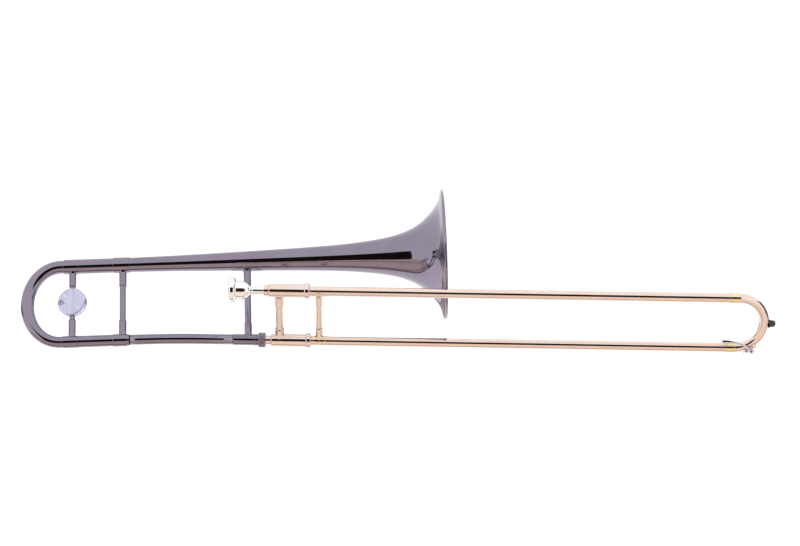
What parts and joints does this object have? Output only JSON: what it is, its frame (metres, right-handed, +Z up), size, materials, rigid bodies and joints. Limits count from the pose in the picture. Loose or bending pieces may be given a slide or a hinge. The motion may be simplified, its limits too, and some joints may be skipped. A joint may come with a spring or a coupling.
{
  "type": "trombone",
  "caption": "Straight tenor slide trombone with a dark plated bell section, lacquered hand slide, tuning slide, balance weight, water key and cup mouthpiece.",
  "frame": {"origin": "on the lower slide tube's axis, inside the lock nut between bell section and hand slide, where the left hand holds it", "axes": "+X along the hand slide towards its bow, +Z up with the bell above the slide, +Y towards the bell's side and away from the mouthpiece's side"},
  "size_m": [1.1872, 0.2193, 0.2609],
  "materials": {
    "black_nickel": "black nickel plate, polished",
    "rose_lacquer": "clear lacquer on pale rose brass",
    "yellow_brass": "clear lacquer on yellow brass",
    "nickel_silver": "polished nickel silver",
    "silver_plate": "polished silver plate",
    "satin_silver": "satin plate",
    "spring_steel": "plain steel",
    "black_rubber": "matt",
    "cork": "natural cork",
    "felt": "pressed felt"
  },
  "bodies": {
    "inner_slide": {"slide_tenon": "rose_lacquer", "lower_cork_barrel": "rose_lacquer", "upper_cork_barrel": "rose_lacquer", "lower_inner_tube": "nickel_silver", "upper_inner_tube": "nickel_silver", "lower_slide_felt": "felt", "upper_slide_felt": "felt", "mouthpiece_receiver": "rose_lacquer", "leadpipe": "yellow_brass", "grip_brace_rod": "rose_lacquer", "grip_brace_lower_socket": "rose_lacquer", "grip_brace_upper_socket": "rose_lacquer"},
    "mouthpiece": {"mouthpiece": "silver_plate"},
    "lock_nut": {"bell_lock_nut": "black_nickel"},
    "slide_lock": {"slide_lock_ring": "rose_lacquer"},
    "outer_slide": {"lower_outer_tube": "rose_lacquer", "upper_outer_tube": "rose_lacquer", "slide_lock_stud": "yellow_brass", "slide_brace_rod": "rose_lacquer", "slide_brace_lower_socket": "rose_lacquer", "slide_brace_upper_socket": "rose_lacquer", "slide_brace_lower_saddle": "yellow_brass", "slide_brace_upper_saddle": "yellow_brass", "lower_bow_ferrule": "yellow_brass", "upper_bow_ferrule": "yellow_brass", "slide_bow": "rose_lacquer", "bow_knob_socket": "black_rubber", "rubber_bumper": "black_rubber", "water_key_nipple": "yellow_brass", "water_key_left_post": "yellow_brass", "water_key_right_post": "yellow_brass", "water_key_pin": "nickel_silver", "water_key_spring": "spring_steel"},
    "water_key": {"water_key_lever": "nickel_silver", "water_key_cork": "cork"},
    "bell_section": {"bell": "black_nickel", "bell_stem_ferrule": "black_nickel", "upper_slide_sleeve": "black_nickel", "lower_slide_sleeve": "black_nickel", "gooseneck_ferrule": "black_nickel", "gooseneck": "black_nickel", "slide_receiver": "black_nickel", "middle_brace_rod": "black_nickel", "middle_brace_lower_socket": "black_nickel", "middle_brace_upper_socket": "black_nickel", "front_brace_rod": "black_nickel", "front_brace_lower_socket": "black_nickel", "front_brace_upper_socket": "black_nickel", "bell_brace_flange": "black_nickel"},
    "tuning_slide": {"tuning_bow": "black_nickel", "tuning_lower_ferrule": "black_nickel", "tuning_upper_ferrule": "black_nickel", "tuning_lower_leg": "nickel_silver", "tuning_upper_leg": "nickel_silver", "tuning_brace_rod": "black_nickel", "tuning_brace_lower_socket": "black_nickel", "tuning_brace_upper_socket": "black_nickel", "weight_front_half": "satin_silver", "weight_back_half": "satin_silver", "weight_screw": "spring_steel"}
  },
  "joints": [
    {"name": "hand_slide", "type": "slide", "parent": "inner_slide", "child": "outer_slide", "axis": [1, 0, 0], "range_m": [0, 0.58]},
    {"name": "tuning_slide_pull", "type": "slide", "parent": "bell_section", "child": "tuning_slide", "axis": [-0.9986, -0.0178, -0.0502], "range_m": [0, 0.06]},
    {"name": "bell_rotation", "type": "hinge", "parent": "inner_slide", "child": "bell_section", "pos_m": [0, 0, 0], "axis": [1, 0, 0], "range_deg": [-40, 0]},
    {"name": "bell_lock_nut_turn", "type": "hinge", "parent": "inner_slide", "child": "lock_nut", "pos_m": [0, 0, 0], "axis": [1, 0, 0], "range_deg": [0, 720]},
    {"name": "slide_lock_turn", "type": "hinge", "parent": "inner_slide", "child": "slide_lock", "pos_m": [0.073, 0, 0], "axis": [1, 0, 0], "range_deg": [0, 60]},
    {"name": "mouthpiece_pull", "type": "slide", "parent": "inner_slide", "child": "mouthpiece", "axis": [-1, 0, 0], "range_m": [0, 0.04]},
    {"name": "water_key_press", "type": "hinge", "parent": "outer_slide", "child": "water_key", "pos_m": [0.76597, -0.01175, -0.00185], "axis": [-0.8518, 0.2698, -0.4491], "range_deg": [0, 14], "stiffness_Nm_per_rad": 0.04, "springref_deg": -20.05}
  ]
}
